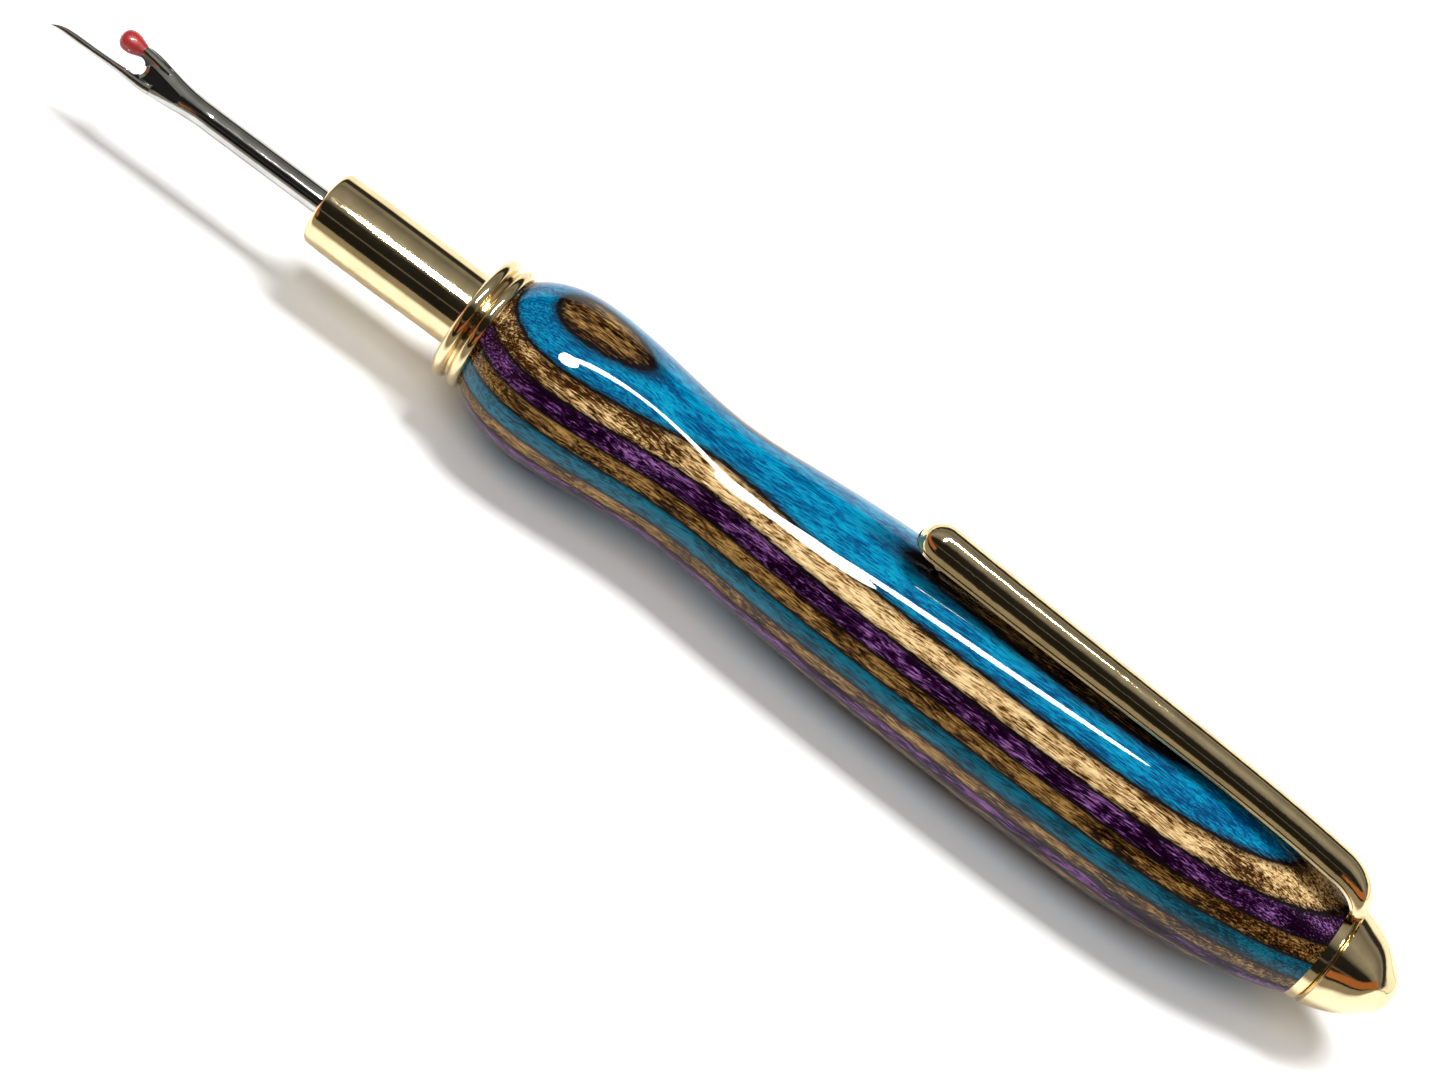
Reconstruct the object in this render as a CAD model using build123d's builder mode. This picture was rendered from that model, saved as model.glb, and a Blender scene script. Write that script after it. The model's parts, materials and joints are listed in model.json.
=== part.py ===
"""Seam ripper with a turned, laminated handle, a pull-out blade holder and a pocket clip.

Units are millimetres. The tool lies along X, with the blade towards -X and the clip on top, towards +Z.
The origin is on the tool's axis, at the front face of the collar, where the blade holder enters the handle.
"""

import os

from build123d import *

# ---------------------------------------------------------------- driving dimensions
COLLAR_LENGTH = 2.75
HANDLE_LENGTH = 85.0
HANDLE_FRONT = COLLAR_LENGTH
HANDLE_REAR = HANDLE_FRONT + HANDLE_LENGTH

TUBE_OUTER = 4.5  # radii of the brass tube glued into the wood
TUBE_INNER = 4.15

BARREL_RADIUS = 3.5
BARREL_REACH = 15.7  # how far the blade holder stands out of the collar
BARREL_CENTRE = 1.4  # the holder is the same both ways about here, so it can be turned end for end
NOSE_LENGTH = 1.0
BORE_CLEARANCE = 0.05
CORE_RADIUS = 2.3  # bore of the holder, filled by the nylon bush and the rear plug
GRIP_RING_WIRE = 0.4  # half the thickness of the O-ring that grips the holder

SHANK_RADIUS = 1.18
SHANK_FRONT = -27.3  # where the round shank starts to flatten into the fork
SHANK_END = 3.0
FORK_ROLL = 48.5  # degrees from level to the fork's plane, with the clip on top

CLIP_RING_THICKNESS = 0.9
CLIP_RING_RADIUS = 4.95
CLIP_SHEET = 0.4
CLIP_TIP = 43.4
WASHER_THICKNESS = 0.12
FINIAL_LENGTH = 6.5
STUD_RADIUS = 2.45
STUD_PITCH = 0.8
STUD_DEPTH = 3.6  # how far the stud reaches into the handle

PLY_THICKNESS = 1.6
PLY_MIDDLE_THICKNESS = 2.05  # the teal layer is thicker than the rest
PLY_TOP_JOINT = 7.05  # height of the uppermost glue joint above the axis, at the collar
PLY_PITCH = -0.87  # degrees: the blank was bored slightly off the direction of its layers

PROFILE = Plane.XZ  # half profiles are drawn as (distance along the tool, radius)
FORK = Plane.XY.rotated((FORK_ROLL, 0, 0))
LAYERS = Plane.XY.rotated((0, PLY_PITCH, 0))

finished = []


def finish(name, part):
    """Labels a piece and keeps it for export."""
    part.label = name
    finished.append(part)
    return part


# ---------------------------------------------------------------- handle
# The outline from the collar to the rear end: a bulb, a waist and a long swell, as (distance, radius).
HANDLE_OUTLINE = [
    (0, 5.35),
    (1.5, 6.4),
    (3.4, 7.17),
    (8.1, 7.62),
    (13.4, 7.17),
    (20.6, 6.46),
    (30.5, 7.08),
    (44.5, 7.87),
    (60, 8.25),
    (70.1, 8.0),
    (78.4, 6.92),
    (HANDLE_LENGTH, 4.96),
]

with BuildPart() as blank:
    with BuildSketch(PROFILE):
        with BuildLine():
            outline = Spline(*[(HANDLE_FRONT + x, r) for x, r in HANDLE_OUTLINE])
            Polyline(
                outline @ 1,
                (HANDLE_REAR, TUBE_OUTER),
                (HANDLE_FRONT, TUBE_OUTER),
                outline @ 0,
            )
        make_face()
    revolve(axis=Axis.X)

# Dyed veneers from the clip side down, each with its own thickness. The outer two reach the wood's skin.
VENEERS = [
    ("brown", PLY_THICKNESS),
    ("blue", PLY_THICKNESS),
    ("brown", PLY_THICKNESS),
    ("purple", PLY_THICKNESS),
    ("brown", PLY_THICKNESS),
    ("teal", PLY_MIDDLE_THICKNESS),
    ("brown", PLY_THICKNESS),
    ("purple", PLY_THICKNESS),
    ("brown", PLY_THICKNESS),
    ("blue", PLY_THICKNESS),
    ("brown", PLY_THICKNESS),
]


def veneer(low, high):
    """One layer of the blank, between two glue joints at heights low and high. None is the wood's skin."""
    with BuildPart() as layer:
        add(blank.part)
        if high is not None:
            split(bisect_by=LAYERS.offset(high), keep=Keep.BOTTOM)
        if low is not None:
            split(bisect_by=LAYERS.offset(low), keep=Keep.TOP)
    return layer.part


joint = PLY_TOP_JOINT + PLY_THICKNESS
for number, (dye, thickness) in enumerate(VENEERS, start=1):
    is_first = number == 1
    is_last = number == len(VENEERS)
    finish(
        f"veneer_{number:02d}_{dye}",
        veneer(None if is_last else joint - thickness, None if is_first else joint),
    )
    joint -= thickness

with BuildPart() as handle_tube:
    with BuildSketch(Plane.YZ.offset(HANDLE_FRONT)):
        Circle(TUBE_OUTER)
        Circle(TUBE_INNER, mode=Mode.SUBTRACT)
    extrude(amount=HANDLE_LENGTH)
finish("handle_tube", handle_tube.part)

# ---------------------------------------------------------------- front collar and its grip ring
BORE = BARREL_RADIUS + BORE_CLEARANCE
COLLAR_CREST = 5.92
COLLAR_VALLEY = 5.3
BARREL_REAR = 2 * BARREL_CENTRE + BARREL_REACH
STOP = BARREL_REAR - 0.3  # the holder's domed end lands on this shoulder
STOP_BORE = 2.8
STOP_LENGTH = 1.2
GRIP_RING_BORE = BARREL_RADIUS + 0.01
GROOVE_RADIUS = GRIP_RING_BORE + 2 * GRIP_RING_WIRE + 0.03
GROOVE_HALF_WIDTH = GRIP_RING_WIRE + 0.05
MOUTH_CHAMFER = 0.15
COLLAR_SHOULDER = 5.4  # radius where the rear bead meets the wood
COLLAR_LINE = [(1.2, COLLAR_VALLEY), (1.28, 5.38), (1.52, 5.38), (1.6, COLLAR_VALLEY)]  # between the beads

with BuildPart() as collar:
    with BuildSketch(PROFILE):
        with BuildLine():
            Polyline((MOUTH_CHAMFER, BORE), (0, BORE + MOUTH_CHAMFER), (0, COLLAR_VALLEY))
            ThreePointArc((0, COLLAR_VALLEY), (0.6, COLLAR_CREST), COLLAR_LINE[0])
            Polyline(*COLLAR_LINE)
            ThreePointArc(COLLAR_LINE[-1], (2.2, COLLAR_CREST), (COLLAR_LENGTH, COLLAR_SHOULDER))
            Polyline(
                (COLLAR_LENGTH, COLLAR_SHOULDER),
                (COLLAR_LENGTH, TUBE_INNER),
                (STOP + STOP_LENGTH, TUBE_INNER),
                (STOP + STOP_LENGTH, STOP_BORE),
                (STOP, STOP_BORE),
                (STOP, BORE),
                (BARREL_CENTRE + GROOVE_HALF_WIDTH, BORE),
                (BARREL_CENTRE + GROOVE_HALF_WIDTH, GROOVE_RADIUS),
                (BARREL_CENTRE - GROOVE_HALF_WIDTH, GROOVE_RADIUS),
                (BARREL_CENTRE - GROOVE_HALF_WIDTH, BORE),
                (MOUTH_CHAMFER, BORE),
            )
        make_face()
    revolve(axis=Axis.X)
finish("collar", collar.part)

with BuildPart() as grip_ring:
    with BuildSketch(PROFILE):
        with Locations((BARREL_CENTRE, GRIP_RING_BORE + GRIP_RING_WIRE)):
            Circle(GRIP_RING_WIRE)
    revolve(axis=Axis.X)
finish("grip_ring", grip_ring.part)

# ---------------------------------------------------------------- blade: shank, fork and tang
SHANK_HOLE = SHANK_RADIUS + 0.02
CROTCH = (-35.35, -0.06)  # centre of the sharpened notch, in the plane of the fork
CROTCH_RADIUS = 0.77
WEB = 0.2  # half the thickness of the web behind the notch
BEVEL_WIDTH = 0.45  # of the ground edge round the notch
BEVEL_HEIGHT = WEB + 0.06
CUT_REACH = 2.0  # cuts run this far from the fork's plane, which is more than its half thickness
TANG = (5, 3.2, 1.3)  # flattened end of the shank, held in the nylon bush
TANG_CENTRE = -0.5

# The hollow pressed into each side of the web is the hull of two circles, as (distance, offset, radius).
WEB_HOLLOW = [(-34.0, -0.14, 0.82), (-30.9, -0.32, 0.46)]

# Elliptical sections as (distance along the tool, offset in the fork's plane, half width, half thickness).
PADDLE = [
    (-28.9, 0, 1.2, 1.16),
    (-30.6, -0.03, 1.31, 1.0),
    (-32.5, 0.02, 1.53, 0.76),
    (-35.5, 0.14, 1.71, 0.5),
]
LONG_PRONG = [
    (-33.2, -1.08, 0.5, 0.62),
    (-35.4, -1.16, 0.42, 0.5),
    (-38.3, -1.21, 0.33, 0.4),
    (-41.6, -1.27, 0.3, 0.28),
    (-42.8, -1.4, 0.17, 0.16),
    (-43.4, -1.6, 0.03, 0.03),
]
SHORT_PRONG = [
    (-32.5, 0.95, 0.54, 0.66),
    (-34.2, 1.16, 0.55, 0.58),
    (-35.8, 1.31, 0.52, 0.5),
    (-37.0, 1.27, 0.36, 0.36),
]
PRONG_EASE = 0.999  # keeps the prongs' sides a hair inside the paddle's, so that no two faces coincide


def across_blade(x, offset):
    """The plane across the blade at x, with its centre offset in the plane of the fork."""
    return Plane(
        origin=FORK.from_local_coords((x, offset, 0)), x_dir=FORK.y_dir, z_dir=(-1, 0, 0)
    )


with BuildPart() as blade:
    with BuildSketch(across_blade(SHANK_FRONT, 0)):
        Circle(SHANK_RADIUS)
    for x, offset, half_width, half_thickness in PADDLE:
        with BuildSketch(across_blade(x, offset)):
            Ellipse(half_width, half_thickness)
    loft()
    for face_side in (1, -1):
        with BuildSketch(FORK.offset(face_side * WEB)):
            for x, offset, radius in WEB_HOLLOW:
                with Locations((x, offset)):
                    Circle(radius)
            make_hull()
        extrude(amount=face_side * CUT_REACH, mode=Mode.SUBTRACT)
    with BuildSketch(FORK):
        with Locations(CROTCH):
            Circle(CROTCH_RADIUS)
            Rectangle(2 * CUT_REACH, 2 * CROTCH_RADIUS, align=(Align.MAX, Align.CENTER))
    extrude(amount=CUT_REACH, both=True, mode=Mode.SUBTRACT)
    for prong in (LONG_PRONG, SHORT_PRONG):
        for x, offset, half_width, half_thickness in prong:
            with BuildSketch(across_blade(x, offset)):
                Ellipse(half_width, half_thickness * PRONG_EASE)
        loft()
    for flip in (0, 180):
        with Locations(FORK.location * Location((*CROTCH, 0), (flip, 0, 0))):
            Cone(
                bottom_radius=CROTCH_RADIUS - 0.02,
                top_radius=CROTCH_RADIUS + BEVEL_WIDTH,
                height=BEVEL_HEIGHT,
                align=(Align.CENTER, Align.CENTER, Align.MIN),
                mode=Mode.SUBTRACT,
            )
    with BuildSketch(Plane.YZ.offset(SHANK_FRONT)):
        Circle(SHANK_RADIUS)
    extrude(amount=SHANK_END - SHANK_FRONT)
    with Locations(FORK.location * Location((TANG_CENTRE, 0, 0))):
        Box(*TANG)
finish("blade", blade.part)

BALL_CENTRE = (-36.75, 1.27)
BALL_HALF_LENGTH = 1.2
BALL_RADIUS = 0.97
BALL_HEEL = 0.56  # its radius where it ends on the prong

with BuildPart() as tip_ball:
    with BuildSketch(FORK):
        with BuildLine():
            crown = Spline(
                (BALL_CENTRE[0] - BALL_HALF_LENGTH, BALL_CENTRE[1]),
                (BALL_CENTRE[0] - 0.1, BALL_CENTRE[1] + BALL_RADIUS),
                (BALL_CENTRE[0] + BALL_HALF_LENGTH, BALL_CENTRE[1] + BALL_HEEL),
                tangents=((0, 1), (1, -0.35)),
            )
            Polyline(crown @ 1, (BALL_CENTRE[0] + BALL_HALF_LENGTH, BALL_CENTRE[1]), crown @ 0)
        make_face()
    revolve(axis=Axis(FORK.from_local_coords((*BALL_CENTRE, 0)), (1, 0, 0)))
    add(blade.part, mode=Mode.SUBTRACT)
finish("tip_ball", tip_ball.part)

# ---------------------------------------------------------------- blade holder: barrel, nylon bush, rear plug
BARREL_FRONT = -BARREL_REACH
PLUG_SEAT = BARREL_REAR - NOSE_LENGTH
PLUG_LENGTH = 5.5
ROUNDING = (0.28, 2.55)  # the barrel's rounded ends pass this far in from their tips, at this radius
BUSH_FRONT = BARREL_FRONT + 2.0
BUSH_LENGTH = 20
NOSE_WALL = 1.4  # thickness of the metal at the nose, around the shank
RELIEF_DEPTH = 0.25  # of the waist in the middle of the barrel, which starts at the collar's face

with BuildPart() as barrel:
    with BuildSketch(PROFILE):
        with BuildLine():
            nose = Spline(
                (BARREL_FRONT, SHANK_HOLE),
                (BARREL_FRONT + ROUNDING[0], ROUNDING[1]),
                (BARREL_FRONT + NOSE_LENGTH, BARREL_RADIUS),
                tangents=((0.25, 1), (1, 0)),
            )
            Polyline(
                nose @ 1,
                (0, BARREL_RADIUS),
                (RELIEF_DEPTH, BARREL_RADIUS - RELIEF_DEPTH),
                (2 * BARREL_CENTRE - RELIEF_DEPTH, BARREL_RADIUS - RELIEF_DEPTH),
                (2 * BARREL_CENTRE, BARREL_RADIUS),
                (PLUG_SEAT, BARREL_RADIUS),
                (PLUG_SEAT, CORE_RADIUS),
                (BUSH_FRONT, CORE_RADIUS),
                (BARREL_FRONT + NOSE_WALL, SHANK_HOLE),
                nose @ 0,
            )
        make_face()
    revolve(axis=Axis.X)
finish("barrel", barrel.part)

with BuildPart() as barrel_plug:
    with BuildSketch(PROFILE):
        with BuildLine():
            dome = Spline(
                (PLUG_SEAT, BARREL_RADIUS),
                (BARREL_REAR - ROUNDING[0], ROUNDING[1]),
                (BARREL_REAR + 0.05, 0),
                tangents=((1, 0), (0, -1)),
            )
            Polyline(
                dome @ 1,
                (PLUG_SEAT - PLUG_LENGTH, 0),
                (PLUG_SEAT - PLUG_LENGTH, CORE_RADIUS),
                (PLUG_SEAT, CORE_RADIUS),
                dome @ 0,
            )
        make_face()
    revolve(axis=Axis.X)
finish("barrel_plug", barrel_plug.part)

with BuildPart() as shank_bush:
    with BuildSketch(Plane.YZ.offset(BUSH_FRONT)):
        Circle(CORE_RADIUS)
    extrude(amount=BUSH_LENGTH)
    add(blade.part, mode=Mode.SUBTRACT)
finish("shank_bush", shank_bush.part)

# ---------------------------------------------------------------- rear end: threaded bush, finial and its stud
WASHER_FRONT = HANDLE_REAR + CLIP_RING_THICKNESS
FINIAL_SEAT = WASHER_FRONT + WASHER_THICKNESS
FINIAL_RADIUS = 4.87
STUD_FRONT = HANDLE_REAR - STUD_DEPTH
STUD_REAR = FINIAL_SEAT + 3.2
STUD_HOLE = STUD_RADIUS + 0.1
STUD_ROOT = STUD_RADIUS - 0.4
STUD_TIP = 1.8
REAR_BUSH_LENGTH = 8
WASHER_RADIUS = 4.55

# The bullet's outline between its rim and its tip, as (distance from its seat, radius).
BULLET = [(0.32, FINIAL_RADIUS), (2.1, 4.38), (3.75, 3.63), (5.4, 2.32), (FINIAL_LENGTH, 0)]

with BuildPart() as rear_bush:
    with BuildSketch(Plane.YZ.offset(HANDLE_REAR - REAR_BUSH_LENGTH)):
        Circle(TUBE_INNER)
        Circle(STUD_RADIUS + BORE_CLEARANCE, mode=Mode.SUBTRACT)
    extrude(amount=REAR_BUSH_LENGTH)
    chamfer(edges().filter_by(GeomType.CIRCLE).sort_by(Axis.X)[-1], 0.25)
finish("rear_bush", rear_bush.part)

with BuildPart() as seal_washer:
    with BuildSketch(Plane.YZ.offset(WASHER_FRONT)):
        Circle(WASHER_RADIUS)
        Circle(STUD_HOLE, mode=Mode.SUBTRACT)
    extrude(amount=WASHER_THICKNESS)
finish("seal_washer", seal_washer.part)

with BuildPart() as finial:
    with BuildSketch(PROFILE):
        with BuildLine():
            bullet = Spline(*[(FINIAL_SEAT + x, r) for x, r in BULLET], tangents=((1, -0.12), (0, -1)))
            Polyline(
                bullet @ 1,
                (STUD_REAR, 0),
                (STUD_REAR, STUD_RADIUS),
                (FINIAL_SEAT, STUD_RADIUS),
                (FINIAL_SEAT, 4.5),
                (FINIAL_SEAT + 0.08, 4.62),
                bullet @ 0,
            )
        make_face()
    revolve(axis=Axis.X)
finish("finial", finial.part)

with BuildPart() as finial_stud:
    with BuildSketch(PROFILE):
        with BuildLine():
            crests = int((STUD_REAR - STUD_FRONT) / STUD_PITCH)
            thread = [(STUD_FRONT, STUD_TIP)]
            for crest in range(crests):
                x = STUD_FRONT + crest * STUD_PITCH
                thread.append((x + 0.35 * STUD_PITCH, STUD_RADIUS))
                thread.append((x + 0.65 * STUD_PITCH, STUD_RADIUS))
                thread.append((x + STUD_PITCH, STUD_ROOT))
            Polyline(
                (STUD_FRONT, 0),
                *thread,
                (STUD_REAR, STUD_ROOT),
                (STUD_REAR, 0),
                close=True,
            )
        make_face()
    revolve(axis=Axis.X)
finish("finial_stud", finial_stud.part)

# ---------------------------------------------------------------- pocket clip: ring, arm and ball
LUG_FRONT = HANDLE_REAR + 0.12
LUG_THICKNESS = 0.32
LUG_WIDTH = 0.9
LUG_HEIGHT = CLIP_RING_RADIUS + 1.1

with BuildPart() as clip_ring:
    with BuildSketch(Plane.YZ.offset(HANDLE_REAR)):
        Circle(CLIP_RING_RADIUS)
    extrude(amount=CLIP_RING_THICKNESS)
    chamfer(edges().filter_by(GeomType.CIRCLE).sort_by(Axis.X)[-1], 0.12)
    with BuildSketch(Plane.YZ.offset(LUG_FRONT)):
        Rectangle(LUG_WIDTH, LUG_HEIGHT, align=(Align.CENTER, Align.MIN))
    extrude(amount=LUG_THICKNESS)
    with BuildSketch(Plane.YZ.offset(HANDLE_REAR)):
        Circle(STUD_HOLE)
    extrude(amount=CLIP_RING_THICKNESS, mode=Mode.SUBTRACT)
finish("clip_ring", clip_ring.part)

# Sections of the arm, which is an open channel under a half-elliptical crown. Each is given as
# (distance along the tool, height of the crown's foot, half width, height of the crown above its foot).
CLIP_STATIONS = [
    (CLIP_TIP, 10.1, 1.9, 2.15),
    (56.0, 9.6, 1.8, 2.0),
    (67.5, 9.25, 1.7, 1.85),
    (76.5, 8.85, 1.65, 1.75),
]
# At the shoulder the arm turns down to the ring about a centre, given as
# (angle turned, distance of the crown's foot from that centre, half width, height of the crown).
SHOULDER_CENTRE = (84.1, 5.15)
SHOULDER = [
    (5, 2.95, 1.6, 1.75),
    (35, 3.2, 1.55, 1.55),
    (65, 3.65, 1.4, 1.2),
    (90, 3.95, 1.2, 0.85),
]
LIP_DEPTH = 0.25  # the rim stands this far below the crown's foot
LIP_REACH = 0.1  # and this far outside it


def shoulder_plane(angle, reach):
    """The plane across the arm where it has turned by an angle about the shoulder's centre."""
    centre = Location((SHOULDER_CENTRE[0], 0, SHOULDER_CENTRE[1]), (0, angle, 0))
    turned = Plane(centre * Location((0, 0, reach)))
    return Plane(origin=turned.origin, x_dir=(0, 1, 0), z_dir=turned.x_dir)


def channel(half_width, crown):
    """One section of the arm: the pressed sheet, with its lips turned out along the open edge."""
    inner = half_width - CLIP_SHEET
    rim = half_width + LIP_REACH
    with BuildSketch() as section:
        with BuildLine():
            EllipticalCenterArc((0, 0), half_width, crown, arc_size=180)
            Polyline((-half_width, 0), (-rim, 0), (-rim, -LIP_DEPTH), (-inner, -LIP_DEPTH), (-inner, 0))
            EllipticalCenterArc((0, 0), inner, crown - CLIP_SHEET, arc_size=180)
            Polyline((inner, 0), (inner, -LIP_DEPTH), (rim, -LIP_DEPTH), (rim, 0), (half_width, 0))
        make_face()
    return section.sketch


def tip_crescent(reach):
    """The plan of the arm's rounded end: a band of sheet, standing out by reach."""
    half_width, length = CLIP_STATIONS[0][2:]
    with BuildSketch() as plan:
        with Locations((CLIP_TIP, 0)):
            Ellipse(length + reach, half_width + reach)
            Ellipse(length - CLIP_SHEET, half_width - CLIP_SHEET, mode=Mode.SUBTRACT)
            Rectangle(
                2 * length, 4 * half_width, align=(Align.MIN, Align.CENTER), mode=Mode.SUBTRACT
            )
    return plan.sketch


with BuildPart() as clip_arm:
    for x, foot, half_width, crown in CLIP_STATIONS:
        with BuildSketch(Plane(origin=(x, 0, foot), x_dir=(0, 1, 0), z_dir=(1, 0, 0))):
            add(channel(half_width, crown))
    with BuildSketch(shoulder_plane(*SHOULDER[0][:2])):
        add(channel(*SHOULDER[0][2:]))
    loft()
    for angle, reach, half_width, crown in SHOULDER:
        with BuildSketch(shoulder_plane(angle, reach)):
            add(channel(half_width, crown))
    loft()
    tip_foot = CLIP_STATIONS[0][1]
    with BuildSketch(Plane.XY.offset(tip_foot)):
        add(tip_crescent(0))
    revolve(axis=Axis((CLIP_TIP, 0, tip_foot), (0, 1, 0)), revolution_arc=90)
    with BuildSketch(Plane.XY.offset(tip_foot)):
        add(tip_crescent(LIP_REACH))
    extrude(amount=-LIP_DEPTH)
finish("clip_arm", clip_arm.part)

CLIP_BALL = (44.1, 8.42)
CLIP_BALL_RADIUS = 0.62
CLIP_BALL_NECK = (0.35, 3.4)  # radius, and length up to inside the arm's sheet

with BuildPart() as clip_ball:
    with Locations((CLIP_BALL[0], 0, CLIP_BALL[1])):
        Sphere(CLIP_BALL_RADIUS)
        Cylinder(*CLIP_BALL_NECK, align=(Align.CENTER, Align.CENTER, Align.MIN))
    add(clip_arm.part, mode=Mode.SUBTRACT)
finish("clip_ball", clip_ball.part)


if __name__ == "__main__":
    os.makedirs("parts", exist_ok=True)
    for piece in finished:
        export_step(piece, f"parts/{piece.label}.step")
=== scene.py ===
"""The looks of the seam ripper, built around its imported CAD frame.

Lengths are in metres, in the frame's own axes: the tool lies along X with its blade towards -X, and
its clip is on top, towards +Z. MM turns a number of millimetres into metres.
"""

import json
import math

import bmesh
import bpy
import numpy as np
from mathutils import Matrix, Vector


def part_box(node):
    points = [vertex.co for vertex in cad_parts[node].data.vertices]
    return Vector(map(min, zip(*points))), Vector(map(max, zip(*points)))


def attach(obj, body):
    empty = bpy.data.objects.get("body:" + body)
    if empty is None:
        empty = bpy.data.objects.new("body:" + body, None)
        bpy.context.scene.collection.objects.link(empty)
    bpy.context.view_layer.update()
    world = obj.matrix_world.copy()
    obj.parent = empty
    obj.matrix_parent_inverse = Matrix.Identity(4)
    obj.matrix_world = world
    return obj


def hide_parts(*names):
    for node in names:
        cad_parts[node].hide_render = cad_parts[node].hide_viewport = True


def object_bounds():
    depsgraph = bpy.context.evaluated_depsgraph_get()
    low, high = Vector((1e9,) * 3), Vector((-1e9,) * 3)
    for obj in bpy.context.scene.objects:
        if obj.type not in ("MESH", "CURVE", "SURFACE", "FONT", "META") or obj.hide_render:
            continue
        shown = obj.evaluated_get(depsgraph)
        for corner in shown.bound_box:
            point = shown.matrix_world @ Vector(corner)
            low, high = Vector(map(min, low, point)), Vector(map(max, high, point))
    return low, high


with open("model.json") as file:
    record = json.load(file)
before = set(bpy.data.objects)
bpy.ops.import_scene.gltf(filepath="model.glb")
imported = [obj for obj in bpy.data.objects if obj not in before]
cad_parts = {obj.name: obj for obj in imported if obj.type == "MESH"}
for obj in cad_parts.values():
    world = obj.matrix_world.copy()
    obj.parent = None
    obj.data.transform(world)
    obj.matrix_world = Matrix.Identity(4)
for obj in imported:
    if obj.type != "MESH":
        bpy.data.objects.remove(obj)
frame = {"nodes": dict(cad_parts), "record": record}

MM = 0.001
BUMP_DEPTH = 0.05 * MM
WELD = 0.0001 * MM  # points nearer than this are one point
cad_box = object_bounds()
nodes = frame["nodes"]
body_of_node = {
    node: body
    for body, members in frame["record"]["behaviour"]["bodies"].items()
    for node in members
}


# ------------------------------------------------------------------------------ shader node helpers
class Shader:
    """The node tree of a material or a world, with short calls for the nodes used here."""

    def __init__(self, owner, surface):
        owner.use_nodes = True
        self.tree = owner.node_tree
        self.surface = self.tree.nodes[surface]

    def node(self, kind, inputs=(), **settings):
        """Adds a node with these settings and fills its inputs, given by name or number."""
        made = self.tree.nodes.new(kind)
        for key, value in settings.items():
            setattr(made, key, value)
        for key, value in dict(inputs).items():
            self.feed(made.inputs[key], value)
        return made

    def feed(self, socket, value):
        """Links a value to an input, or sets the input to it. A colour has three numbers."""
        if isinstance(value, bpy.types.NodeSocket):
            self.tree.links.new(value, socket)
        elif socket.type == "RGBA":
            socket.default_value = (*value, 1.0)
        else:
            socket.default_value = value

    def math(self, operation, first, second=0.0, third=0.0):
        inputs = {0: first, 1: second, 2: third}
        return self.node("ShaderNodeMath", inputs, operation=operation).outputs[0]

    def position(self):
        """The point's place in the tool's own frame, as x, y and z in millimetres."""
        place = self.node("ShaderNodeTexCoord").outputs["Object"]
        scaled = self.node("ShaderNodeVectorMath", {0: place, 3: 1 / MM}, operation="SCALE")
        return self.split(scaled.outputs[0])

    def split(self, vector):
        return self.node("ShaderNodeSeparateXYZ", {0: vector}).outputs

    def vector(self, x, y, z, along=1.0):
        """A vector with x scaled by along. Below 1 it draws noise out along the tool."""
        if along != 1.0:
            x = self.math("MULTIPLY", x, along)
        return self.node("ShaderNodeCombineXYZ", {0: x, 1: y, 2: z}).outputs[0]

    def noise(self, vector, scale, detail=3.0, roughness=0.55):
        """Smooth noise around 0.5."""
        inputs = {"Vector": vector, "Scale": scale, "Detail": detail, "Roughness": roughness}
        return self.node("ShaderNodeTexNoise", inputs).outputs["Fac"]

    def ramp(self, value, *stops):
        """A colour ramp through (position, colour) stops."""
        made = self.node("ShaderNodeValToRGB", {0: value})
        elements = made.color_ramp.elements
        while len(elements) < len(stops):
            elements.new(1.0)
        for element, (at, colour) in zip(elements, stops):
            element.position = at
            element.color = (*colour, 1.0)
        return made.outputs["Color"]

    def fade(self, value, start, end, at_start=0.0, at_end=1.0, curve="SMOOTHSTEP"):
        """Goes from at_start to at_end as value goes from start to end, and stays level outside."""
        inputs = {0: value, 1: start, 2: end, 3: at_start, 4: at_end}
        return self.node("ShaderNodeMapRange", inputs, interpolation_type=curve).outputs[0]

    def mix(self, amount, first, second):
        """The first colour where amount is 0, and the second where it is 1."""
        made = self.node("ShaderNodeMix", data_type="RGBA")
        sockets = {socket.identifier: socket for socket in (*made.inputs, *made.outputs)}
        self.feed(sockets["Factor_Float"], amount)
        self.feed(sockets["A_Color"], first)
        self.feed(sockets["B_Color"], second)
        return sockets["Result_Color"]

    def bump(self, height, strength):
        inputs = {"Height": height, "Strength": strength, "Distance": BUMP_DEPTH}
        return self.node("ShaderNodeBump", inputs).outputs["Normal"]

    def set(self, **inputs):
        """Fills the surface's inputs; an underscore stands for a space in an input's name."""
        for key, value in inputs.items():
            self.feed(self.surface.inputs[key.replace("_", " ")], value)


def new_material(name):
    """An empty material and the shader that fills it."""
    material = bpy.data.materials.new(name)
    return material, Shader(material, "Principled BSDF")


# ------------------------------------------------------------------------------ materials
METAL_WORN = 0.84  # how bright metal is where its polish is worn, as a share of its full colour


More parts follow.
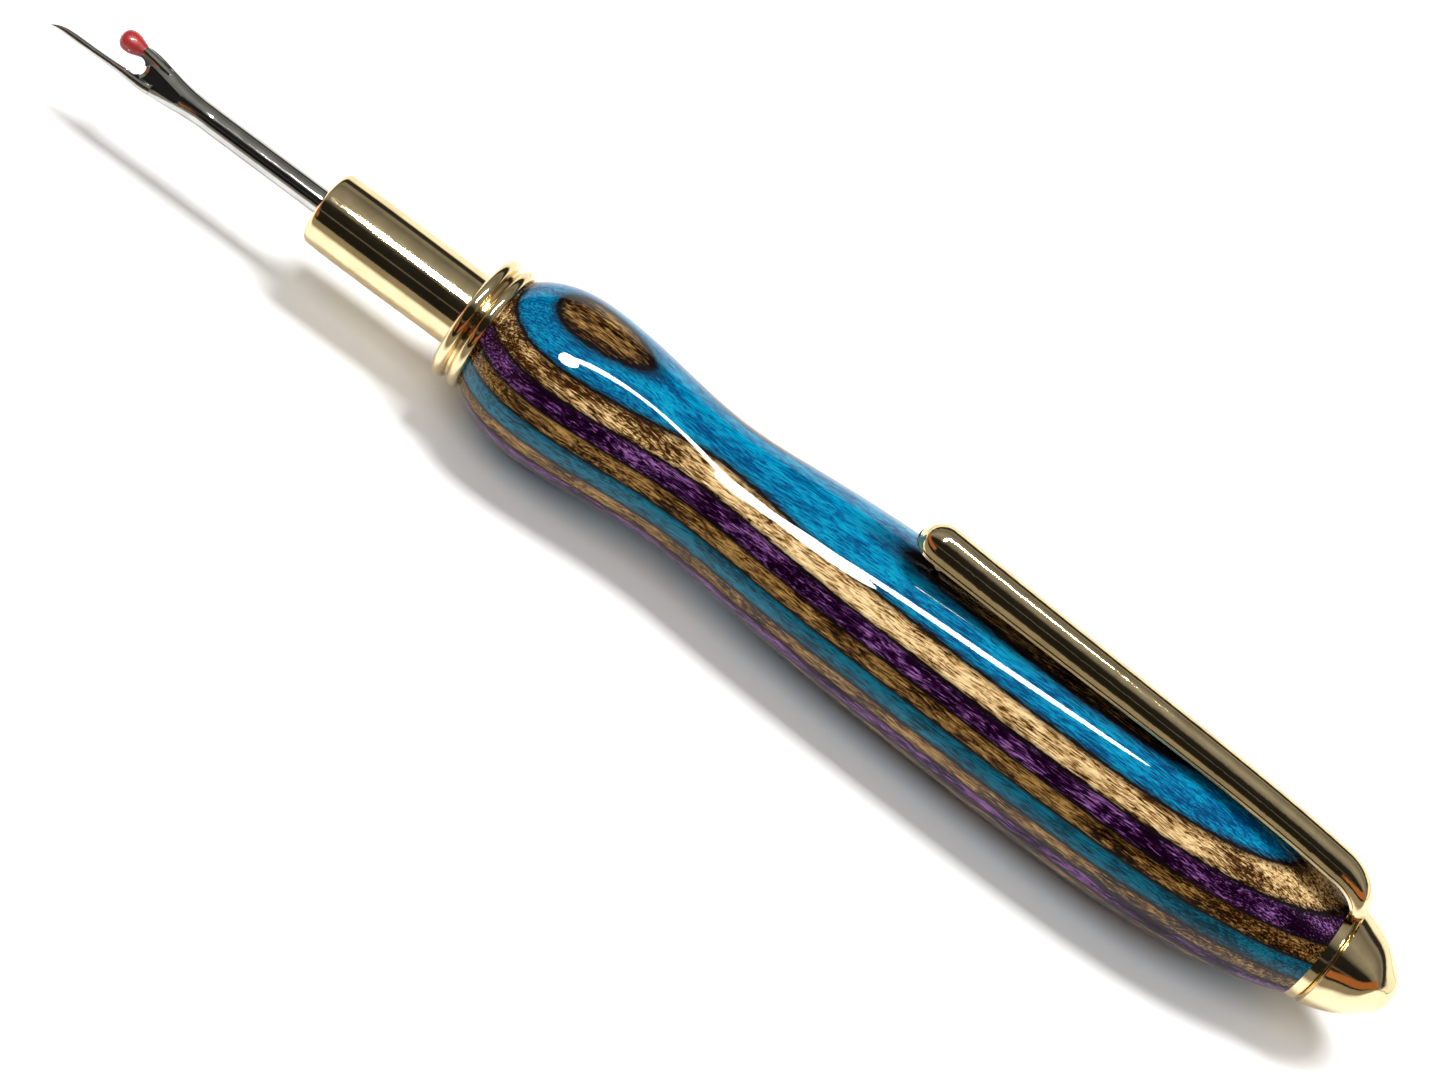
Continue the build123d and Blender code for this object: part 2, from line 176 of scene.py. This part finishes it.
def metal_material(name, colour, roughness, pitting, streaks):
    """Polished metal: slightly uneven polish, fine pits, and rubbing marks that run along the tool.

    streaks is how much the rubbing marks change the roughness, and pitting is the relief's
    strength.
    """
    material, shader = new_material(name)
    x, y, z = shader.position()
    rubbed = shader.noise(shader.vector(x, y, z, along=0.08), 6.0, detail=4.0, roughness=0.7)
    place = shader.vector(x, y, z)
    pits = shader.noise(place, 3.5, detail=2.0, roughness=0.6)
    worn = shader.fade(shader.noise(place, 0.5, detail=2.0), 0.35, 0.7)
    gloss = shader.fade(rubbed, 0.3, 0.7, roughness * (1 - streaks), roughness * (1 + 2 * streaks))
    shader.set(
        Base_Color=shader.mix(worn, colour, tuple(METAL_WORN * channel for channel in colour)),
        Metallic=1.0,
        Roughness=gloss,
        Normal=shader.bump(shader.math("MULTIPLY_ADD", rubbed, 0.4, pits), pitting),
    )
    return material


def plastic_material(name, colour, roughness, coat=0.0):
    """Moulded plastic, rubber or enamel with a faint cloudiness."""
    material, shader = new_material(name)
    x, y, z = shader.position()
    cloud = shader.noise(shader.vector(x, y, z), 1.4)
    darker = tuple(0.7 * channel for channel in colour)
    shader.set(
        Base_Color=shader.mix(shader.fade(cloud, 0.35, 0.65), colour, darker),
        Roughness=shader.fade(cloud, 0.3, 0.7, roughness, roughness * 1.3),
        Coat_Weight=coat,
        Coat_Roughness=0.03,
        Normal=shader.bump(cloud, 0.05),
    )
    return material


# ------------------------------------------------------------------------------ wood
LEAN = math.tan(math.radians(0.87))  # how much the glue joints rise towards +X
GLUE_HALF_WIDTH = 0.075  # mm
SKIN_EASE = 0.003 * MM  # keeps the finer skin inside the CAD one

# Colours of each dye as (dark fibre, middle, light fibre).
DYES = {
    "blue": ((0.000, 0.045, 0.13), (0.000, 0.125, 0.285), (0.001, 0.27, 0.43)),
    "teal": ((0.000, 0.025, 0.04), (0.000, 0.075, 0.135), (0.002, 0.15, 0.23)),
    "purple": ((0.006, 0.0002, 0.006), (0.024, 0.0016, 0.036), (0.30, 0.13, 0.36)),
    "brown": ((0.006, 0.002, 0.0008), (0.100, 0.042, 0.008), (0.42, 0.25, 0.075)),
    "tan": ((0.030, 0.010, 0.002), (0.43, 0.25, 0.080), (0.86, 0.65, 0.35)),
}
GLUE = (0.006, 0.004, 0.004)

# How far each layer's tone is shifted at the front and at the rear, by its number from the top.
LAYER_TONES = {
    1: (-0.12, -0.12),
    2: (-0.04, 0.03),
    3: (-0.20, 0.03),
    4: (-0.06, -0.09),
    5: (0.02, 0.04),
    6: (0.02, 0.04),
    7: (0.02, 0.02),
    8: (-0.04, -0.04),
}

TONE_STOPS = (0.30, 0.48, 0.80)  # tones at which wood has its dark, middle and light colour
BULB_END = (12.0, 28.0)  # mm along the tool over which the front tone gives way to the rear one
REAR_END = (55.0, 82.0)  # mm along the tool over which every layer darkens
REAR_SHADE = -0.12
PORE_SHADE = -0.22

# How strongly each kind of grain shifts the tone.
STROKE_WEIGHT = 1.9
HAIR_WEIGHT = 1.7
FIGURE_WEIGHT = 1.35

GRAIN_STEP = 7.3  # mm in Y from one layer's grain to the next one's
GRAIN_BEND = 0.9  # mm that the waves can lift the fibres
RAGGEDNESS = 0.30  # mm that a glue joint can stray with the strokes
STAIN_STRENGTH = 0.6


def wood_material(name, dye, joints, tones, number):
    """Dyed veneer under thick gloss lacquer, for the layer of this number from the top.

    joints are the heights of its glue joints above the axis at x = 0, in mm. tones shift the tone
    of its fibres at the handle's front and towards its rear.
    """
    material, shader = new_material(name)
    x, y, z = shader.position()
    height = shader.math("MULTIPLY_ADD", x, -LEAN, z)
    y = shader.math("ADD", y, number * GRAIN_STEP)
    # long waves bend the fibres, strokes and hairs run along them, and flecks darken single pores
    wave = shader.noise(shader.vector(x, y, height, along=0.5), 0.3, detail=1.0)
    bent = shader.math("MULTIPLY_ADD", wave, GRAIN_BEND, height)
    strokes = shader.noise(shader.vector(x, y, bent, along=0.11), 7.5, detail=4.0, roughness=0.65)
    hairs = shader.noise(shader.vector(x, y, bent, along=0.05), 15.0, detail=3.0, roughness=0.65)
    figure = shader.noise(shader.vector(x, y, height, along=0.30), 0.6, detail=3.0, roughness=0.6)
    flecks = shader.noise(shader.vector(x, y, bent, along=0.22), 8.0, detail=1.0)
    pores = shader.fade(flecks, 0.64, 0.72, 0.0, PORE_SHADE)
    tone = shader.fade(x, *BULB_END, 0.5 + tones[0], 0.5 + tones[1])
    tone = shader.math("ADD", pores, tone)
    tone = shader.math("ADD", tone, shader.fade(x, *REAR_END, 0.0, REAR_SHADE))
    centred_strokes = shader.math("SUBTRACT", strokes, 0.5)
    tone = shader.math("MULTIPLY_ADD", centred_strokes, STROKE_WEIGHT, tone)
    for grain, weight in ((hairs, HAIR_WEIGHT), (figure, FIGURE_WEIGHT)):
        tone = shader.math("MULTIPLY_ADD", shader.math("SUBTRACT", grain, 0.5), weight, tone)
    colour = shader.ramp(tone, *zip(TONE_STOPS, DYES[dye]))
    ragged = shader.math("MULTIPLY_ADD", centred_strokes, RAGGEDNESS, height)
    for joint in joints:
        distance = shader.math("ABSOLUTE", shader.math("SUBTRACT", ragged, joint))
        stain = shader.fade(distance, GLUE_HALF_WIDTH, 5.0 * GLUE_HALF_WIDTH, 1.0, 0.0)
        line = shader.fade(distance, 0.5 * GLUE_HALF_WIDTH, 1.5 * GLUE_HALF_WIDTH, 1.0, 0.0)
        colour = shader.mix(shader.math("MULTIPLY", stain, STAIN_STRENGTH), colour, GLUE)
        colour = shader.mix(line, colour, GLUE)
    shader.set(
        Base_Color=colour,
        Roughness=0.5,
        Normal=shader.bump(strokes, 0.15),
        Coat_Weight=1.0,
        Coat_Roughness=0.015,
        Coat_IOR=1.32,
        Specular_IOR_Level=0.0,
    )
    return material


# ------------------------------------------------------------------------------ mesh helpers
def new_piece(name, mesh, node, material):
    """Links a mesh as a piece that replaces a CAD node and rides on its body."""
    piece = bpy.data.objects.new(name, mesh)
    bpy.context.scene.collection.objects.link(piece)
    mesh.materials.clear()
    mesh.materials.append(material)
    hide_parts(node)
    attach(piece, body_of_node[node])


def slice_profile(node):
    """The outline of a turned CAD node, as (x, radius) in order, and whether it is closed.

    An open outline starts and ends on the axis.
    """
    cut = bmesh.new()
    cut.from_mesh(nodes[node].data)
    bmesh.ops.remove_doubles(cut, verts=cut.verts, dist=WELD)
    everything = cut.verts[:] + cut.edges[:] + cut.faces[:]
    found = bmesh.ops.bisect_plane(
        cut, geom=everything, dist=WELD, plane_co=(0, 0, 0), plane_no=(0, 1, 0)
    )["geom_cut"]
    links = {}
    for edge in found:
        if isinstance(edge, bmesh.types.BMEdge) and all(v.co.z > -WELD for v in edge.verts):
            a, b = (tuple(round(c, 7) for c in (v.co.x, max(v.co.z, 0.0))) for v in edge.verts)
            if a != b and not (a[1] == 0 and b[1] == 0):
                links.setdefault(a, set()).add(b)
                links.setdefault(b, set()).add(a)
    cut.free()
    ends = [point for point, near in links.items() if len(near) == 1]
    here = min(ends) if ends else min(links)
    path, before = [here], None
    while True:
        onward = [point for point in links[here] if point != before and point not in path[1:]]
        onward = [point for point in onward if point != path[0] or len(path) > 2]
        if not onward:
            break
        before, here = here, onward[0]
        if here == path[0]:
            break
        path.append(here)
    return path, not ends


CORNER = math.radians(32)  # an outline that turns by more than this at a point has a corner there
MOST_STEPS = 24  # the most new points between two old ones


def refine(profile, closed, longest):
    """Adds points to a profile, on curves between its corners, about longest apart."""
    points = [Vector((x, r, 0)) for x, r in profile]
    count = len(points)

    def is_corner(index):
        if not closed and index in (0, count - 1):
            return True
        before = points[index] - points[index - 1]
        after = points[(index + 1) % count] - points[index]
        return before.angle(after) > CORNER

    corners = [is_corner(index) for index in range(count)]
    made = []
    for index in range(count if closed else count - 1):
        a, b = points[index], points[(index + 1) % count]
        start = a - points[index - 1] if not corners[index] else b - a
        onward = points[(index + 2) % count] - b if not corners[(index + 1) % count] else b - a
        chord = (b - a).length
        slope_a = (start.normalized() + (b - a).normalized()).normalized() * chord
        slope_b = (onward.normalized() + (b - a).normalized()).normalized() * chord
        steps = max(1, min(MOST_STEPS, math.ceil(chord / longest)))
        for step in range(steps):
            t = step / steps
            place = (
                a * (2 * t**3 - 3 * t**2 + 1)
                + slope_a * (t**3 - 2 * t**2 + t)
                + b * (3 * t**2 - 2 * t**3)
                + slope_b * (t**3 - t**2)
            )
            made.append(((place.x, max(place.y, 0.0)), step == 0 and corners[index]))
    if not closed:
        made.append((profile[-1], True))
    return made


def around(radius, angle):
    """The y and z of a point at this radius, turned this far about the tool's axis from the top."""
    return radius * math.sin(angle), radius * math.cos(angle)


def lathe(profile, closed, segments):
    """A mesh turned about the tool's axis.

    profile is a list of ((x, radius), is corner), and corners get sharp edges.
    """
    form = bmesh.new()
    rings = []
    for (x, radius), _ in profile:
        if radius < WELD:
            rings.append([form.verts.new((x, 0, 0))] * segments)
            continue
        angles = (2 * math.pi * k / segments for k in range(segments))
        rings.append([form.verts.new((x, *around(radius, angle))) for angle in angles])
    pairs = list(zip(rings, rings[1:] + rings[:1])) if closed else list(zip(rings, rings[1:]))
    for ring, onward in pairs:
        for k in range(segments):
            corners = [ring[k], ring[(k + 1) % segments], onward[(k + 1) % segments], onward[k]]
            distinct = list(dict.fromkeys(corners))
            if len(distinct) > 2:
                form.faces.new(distinct)
    for face in form.faces:
        face.smooth = True
    for ring, (_, is_corner) in zip(rings, profile):
        if is_corner and ring[0] is not ring[1]:
            for k in range(segments):
                edge = form.edges.get((ring[k], ring[(k + 1) % segments]))
                if edge:
                    edge.smooth = False
    bmesh.ops.recalc_face_normals(form, faces=form.faces)
    mesh = bpy.data.meshes.new("turned")
    form.to_mesh(mesh)
    form.free()
    return mesh


def turned_piece(node, name, material, segments=160, longest=0.12 * MM):
    """Stands a finely turned copy of a round CAD node in its place."""
    path, closed = slice_profile(node)
    mesh = lathe(refine(path, closed, longest), closed, segments)
    new_piece(name, mesh, node, material)


# ------------------------------------------------------------------------------ laminated handle
BORE_MARGIN = 0.2 * MM  # a veneer's points this far outside the bore are on its skin
FLAT_POINTS = 40  # a veneer's face has more points than this at one height if it is a glue joint
CUT_WELD = 0.00001 * MM
SKIN_FACING = 0.999  # cosine of the angle within which a face is taken to lie in the skin
SKIN_REACH = 0.02 * MM
SKIN_STATIONS = 300
SKIN_SEGMENTS = 240
TAN_LAYER = 3  # this brown layer has the lightest dye


def skin_outline(bore):
    """The handle's turned outline, as arrays of x and radius, from its veneers' outer points."""
    found = []
    for node in nodes:
        if node.startswith("veneer"):
            for vertex in nodes[node].data.vertices:
                radius = math.hypot(vertex.co.y, vertex.co.z)
                if radius > bore + BORE_MARGIN:
                    found.append((round(vertex.co.x, 6), radius))
    found = sorted(dict(found).items())
    return np.array([x for x, _ in found]), np.array([r for _, r in found])


def joint_heights():
    """Each veneer's glue joints, as rising heights above the axis at x = 0, in metres, by node."""
    heights = {}
    for node in nodes:
        if node.startswith("veneer"):
            levels = [round((v.co.z - LEAN * v.co.x) / MM, 2) for v in nodes[node].data.vertices]
            ends = (min(levels), max(levels))
            heights[node] = [level * MM for level in ends if levels.count(level) > FLAT_POINTS]
    return heights


def blank_mesh(stations, radii, bore, segments):
    """The whole wooden handle as one turned mesh: skin, bore and both ends. Returns its bmesh."""
    form = bmesh.new()
    turns = [2 * math.pi * (k + 0.5) / segments for k in range(segments)]

    def ring(x, radius):
        return [form.verts.new((x, *around(radius, turn))) for turn in turns]

    rings = [ring(x, radius) for x, radius in zip(stations, radii)]
    rings += [ring(stations[-1], bore), ring(stations[0], bore)]
    for a, b in zip(rings, rings[1:] + rings[:1]):
        for k in range(segments):
            form.faces.new((a[k], a[(k + 1) % segments], b[(k + 1) % segments], b[k]))
    bmesh.ops.recalc_face_normals(form, faces=form.faces)
    return form


def cut_layer(blank, low, high):
    """A copy of the blank between two leaning planes. A missing plane is None."""
    layer = blank.copy()
    up = Vector((-LEAN, 0, 1)).normalized()
    for height, keeps_above in ((low, True), (high, False)):
        if height is None:
            continue
        everything = layer.verts[:] + layer.edges[:] + layer.faces[:]
        cut = bmesh.ops.bisect_plane(
            layer,
            geom=everything,
            dist=CUT_WELD,
            plane_co=(0, 0, height),
            plane_no=up,
            clear_inner=keeps_above,
            clear_outer=not keeps_above,
        )["geom_cut"]
        rim = [edge for edge in cut if isinstance(edge, bmesh.types.BMEdge)]
        bmesh.ops.triangle_fill(layer, use_beauty=True, use_dissolve=False, edges=rim)
    bmesh.ops.recalc_face_normals(layer, faces=layer.faces)
    return layer


def skin_normals(mesh, stations, radii):
    """Gives the turned skin exact normals, so that reflections run on across the glue joints."""
    slope = np.gradient(radii, stations)
    normals = []
    for polygon in mesh.polygons:
        for vertex in polygon.vertices:
            place = mesh.vertices[vertex].co
            across = math.hypot(place.y, place.z)
            rise = float(np.interp(place.x, stations, slope))
            exact = Vector((-rise, place.y / across, place.z / across)).normalized()
            off_skin = abs(across - float(np.interp(place.x, stations, radii)))
            is_skin = abs(exact.dot(polygon.normal)) > SKIN_FACING and off_skin < SKIN_REACH
            normals.append(exact if is_skin else polygon.normal)
    mesh.normals_split_custom_set(normals)


def build_handle():
    """Stands a finely turned and cut copy of each veneer in its place."""
    tube_low, tube_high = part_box("handle_tube")
    bore = tube_high[2]
    stations = np.linspace(tube_low[0], tube_high[0], SKIN_STATIONS)
    radii = np.interp(stations, *skin_outline(bore)) - SKIN_EASE
    blank = blank_mesh(stations, radii, bore, SKIN_SEGMENTS)
    heights = joint_heights()
    for number, node in enumerate(sorted(heights), start=1):
        joints = heights[node]
        dye = "tan" if number == TAN_LAYER else node.rsplit("_", 1)[1]
        if number == 1:
            low, high = joints[0], None
        elif number == len(heights):
            low, high = None, joints[0]
        else:
            low, high = joints
        layer = cut_layer(blank, low, high)
        mesh = bpy.data.meshes.new(f"layer_{number:02d}")
        layer.to_mesh(mesh)
        layer.free()
        skin_normals(mesh, stations, radii)
        tones = LAYER_TONES.get(number, (0.0, 0.0))
        material = wood_material(
            f"lacquered_{dye}_{number:02d}", dye, [h / MM for h in joints], tones, number
        )
        new_piece(node.replace("veneer", "wood"), mesh, node, material)
    blank.free()


# ------------------------------------------------------------------------------ build
GOLD = (0.92, 0.75, 0.45)
STEEL = (0.60, 0.60, 0.585)
BRASS = (0.62, 0.45, 0.20)
gold = metal_material("polished_gold", GOLD, 0.045, pitting=0.035, streaks=0.5)
steel = metal_material("bright_steel", STEEL, 0.055, pitting=0.03, streaks=0.4)
brass = metal_material("drawn_brass", BRASS, 0.25, pitting=0.2, streaks=0.5)
enamel = plastic_material("red_enamel", (0.38, 0.008, 0.008), 0.4, coat=0.6)
nylon = plastic_material("nylon", (0.72, 0.70, 0.64), 0.5)
rubber = plastic_material("black_rubber", (0.02, 0.02, 0.02), 0.6)

build_handle()
for node in ("collar", "barrel", "barrel_plug", "finial"):
    turned_piece(node, node + "_gold", gold)
for node, material in (
    ("clip_ring", gold),
    ("clip_arm", gold),
    ("clip_ball", gold),
    ("blade", steel),
    ("tip_ball", enamel),
    ("shank_bush", nylon),
    ("grip_ring", rubber),
    ("seal_washer", rubber),
    ("handle_tube", brass),
    ("rear_bush", brass),
    ("finial_stud", steel),
):
    mesh = nodes[node].data
    mesh.materials.clear()
    mesh.materials.append(material)


# ------------------------------------------------------------------------------ studio
BACKDROP = (0.97, 0.97, 0.97)
FLOOR_RADIUS = 1.5
FLOOR_GAP = 0.02 * MM  # under the lowest point of the tool
# The stretches over which the floor changes, in mm: the first two along Y and only in what polished
# parts mirror, and the last outwards from the origin.
MIRRORED_NEAR = (-24.0, -14.0)
MIRRORED_FAR = (-110.0, -60.0)
GLOW_START = (150.0, 500.0)


def make_floor():
    """A plain pale floor under the tool. Polished parts mirror it as dim away from the tool."""
    material, shader = new_material("pale_floor")
    x, y, z = shader.position()
    mottle = shader.noise(shader.vector(x, y, z), 0.02)
    pale = shader.mix(mottle, (0.90, 0.90, 0.90), (0.93, 0.93, 0.93))
    dim = shader.mix(shader.fade(y, *MIRRORED_FAR), (0.015, 0.014, 0.011), (0.20, 0.18, 0.14))
    mirrored = shader.mix(shader.fade(y, *MIRRORED_NEAR), dim, pale)
    light_path = shader.node("ShaderNodeLightPath").outputs
    # far from the tool the floor glows for the camera, so that it stays pale up to the backdrop
    distance = shader.math("SQRT", shader.math("MULTIPLY_ADD", x, x, shader.math("MULTIPLY", y, y)))
    glow = shader.math("MULTIPLY", shader.fade(distance, *GLOW_START), light_path["Is Camera Ray"])
    shader.set(
        Base_Color=shader.mix(light_path["Is Glossy Ray"], pale, mirrored),
        Roughness=0.9,
        Specular_IOR_Level=0.0,
        Emission_Color=BACKDROP,
        Emission_Strength=glow,
    )
    form = bmesh.new()
    bmesh.ops.create_circle(form, cap_ends=True, segments=96, radius=FLOOR_RADIUS)
    mesh = bpy.data.meshes.new("floor")
    form.to_mesh(mesh)
    form.free()
    mesh.materials.append(material)
    floor = bpy.data.objects.new("floor", mesh)
    floor.location = (0, 0, cad_box[0][2] - FLOOR_GAP)
    bpy.context.scene.collection.objects.link(floor)


# What the polished parts mirror, going up from the horizon in front of the tool, over the top, and
# down to the horizon behind it, as (degrees, brightness).
ROOM = [
    (0, 0.015),
    (20, 0.015),
    (23, 0.14),
    (26, 0.015),
    (50, 0.02),
    (62, 0.22),
    (84, 0.34),
    (100, 0.26),
    (118, 0.16),
    (132, 0.26),
    (138, 0.03),
    (152, 0.03),
    (158, 1.15),
    (180, 1.35),
]
ROOM_TINT = (1.0, 0.965, 0.88)
WARM_CARD = (0.42, 0.15, 0.05)


def make_world():
    """A pale backdrop for the camera, and a room of dark and bright bands for all else."""
    world = bpy.data.worlds.new("studio")
    bpy.context.scene.world = world
    shader = Shader(world, "Background")
    x, y, z = shader.split(shader.node("ShaderNodeTexCoord").outputs["Generated"])
    turn = shader.math("ARCTAN2", z, shader.math("SUBTRACT", 0.0, y))
    bands = [(degrees / 180, [level * tint for tint in ROOM_TINT]) for degrees, level in ROOM]
    room = shader.ramp(shader.math("DIVIDE", turn, math.pi), *bands)
    # a warm card stands low at both ends of the tool, on the camera's side
    aside = shader.fade(shader.math("ABSOLUTE", x), 0.26, 0.38, curve="LINEAR")
    low = shader.fade(z, 0.26, 0.20, curve="LINEAR")
    in_front = shader.fade(y, 0.05, -0.05, curve="LINEAR")
    card = shader.math("MULTIPLY", shader.math("MULTIPLY", aside, low), in_front)
    room = shader.mix(card, room, WARM_CARD)
    is_camera = shader.node("ShaderNodeLightPath").outputs["Is Camera Ray"]
    shader.set(Color=shader.mix(is_camera, room, BACKDROP), Strength=1.0)


LIT_POINT = Vector((0.035, 0, 0))  # the lights face this point inside the handle


def area_light(name, centre, length, width, radiance, azimuth=0.0, mirrored=False):
    """A flat light that faces the tool.

    centre is in metres, and azimuth turns its length away from the tool's axis, in degrees. A
    mirrored light is an ellipse that is only seen in reflections, and any other is a rectangle that
    only lights surfaces.
    """
    data = bpy.data.lights.new(name, "AREA")
    data.shape = "ELLIPSE" if mirrored else "RECTANGLE"
    data.size = length
    data.size_y = width
    data.energy = radiance * math.pi * length * width
    lamp = bpy.data.objects.new(name, data)
    away = (Vector(centre) - LIT_POINT).normalized()
    turn = math.radians(azimuth)
    along = Vector((math.cos(turn), math.sin(turn), 0))
    along = (along - away * along.dot(away)).normalized()
    across = away.cross(along)
    lamp.matrix_world = (
        Matrix.Translation(centre) @ Matrix((along, across, away)).transposed().to_4x4()
    )
    lamp.visible_camera = False
    lamp.visible_diffuse = not mirrored
    lamp.visible_glossy = mirrored
    bpy.context.scene.collection.objects.link(lamp)


def make_camera():
    """Looks down on the tool's side, rolled so that the tool runs down from left to right."""
    data = bpy.data.cameras.new("camera")
    data.sensor_width = 36.0
    data.lens = 87.2  # mm, for the sensor's width above
    data.clip_start = 0.01
    camera = bpy.data.objects.new("camera", data)
    place = Vector((43.1, -218.7, 193.5)) * MM
    aim = Vector((28.3, -0.8, -3.0)) * MM
    roll = math.radians(34.1)
    view = (aim - place).normalized()
    right = view.cross(Vector((0, 0, 1))).normalized()
    up = right.cross(view)
    rolled_right = right * math.cos(roll) + up * math.sin(roll)
    rolled_up = up * math.cos(roll) - right * math.sin(roll)
    turn = Matrix((rolled_right, rolled_up, -view)).transposed().to_4x4()
    camera.matrix_world = Matrix.Translation(place) @ turn
    bpy.context.scene.collection.objects.link(camera)
    bpy.context.scene.camera = camera


make_floor()
make_world()
area_light("tube", (0.006, -0.138, 0.706), 0.44, 0.052, 60.0, azimuth=48.0, mirrored=True)
area_light("window", (-0.103, -0.295, 0.706), 0.128, 0.20, 60.0, azimuth=-8.0, mirrored=True)
area_light("key_softbox", (0.10, 0.16, 0.82), 0.42, 0.22, 27.0)
area_light("front_softbox", (-0.02, -0.45, 0.75), 1.0, 0.6, 2.0)
make_camera()
bpy.context.scene.view_settings.view_transform = "Standard"
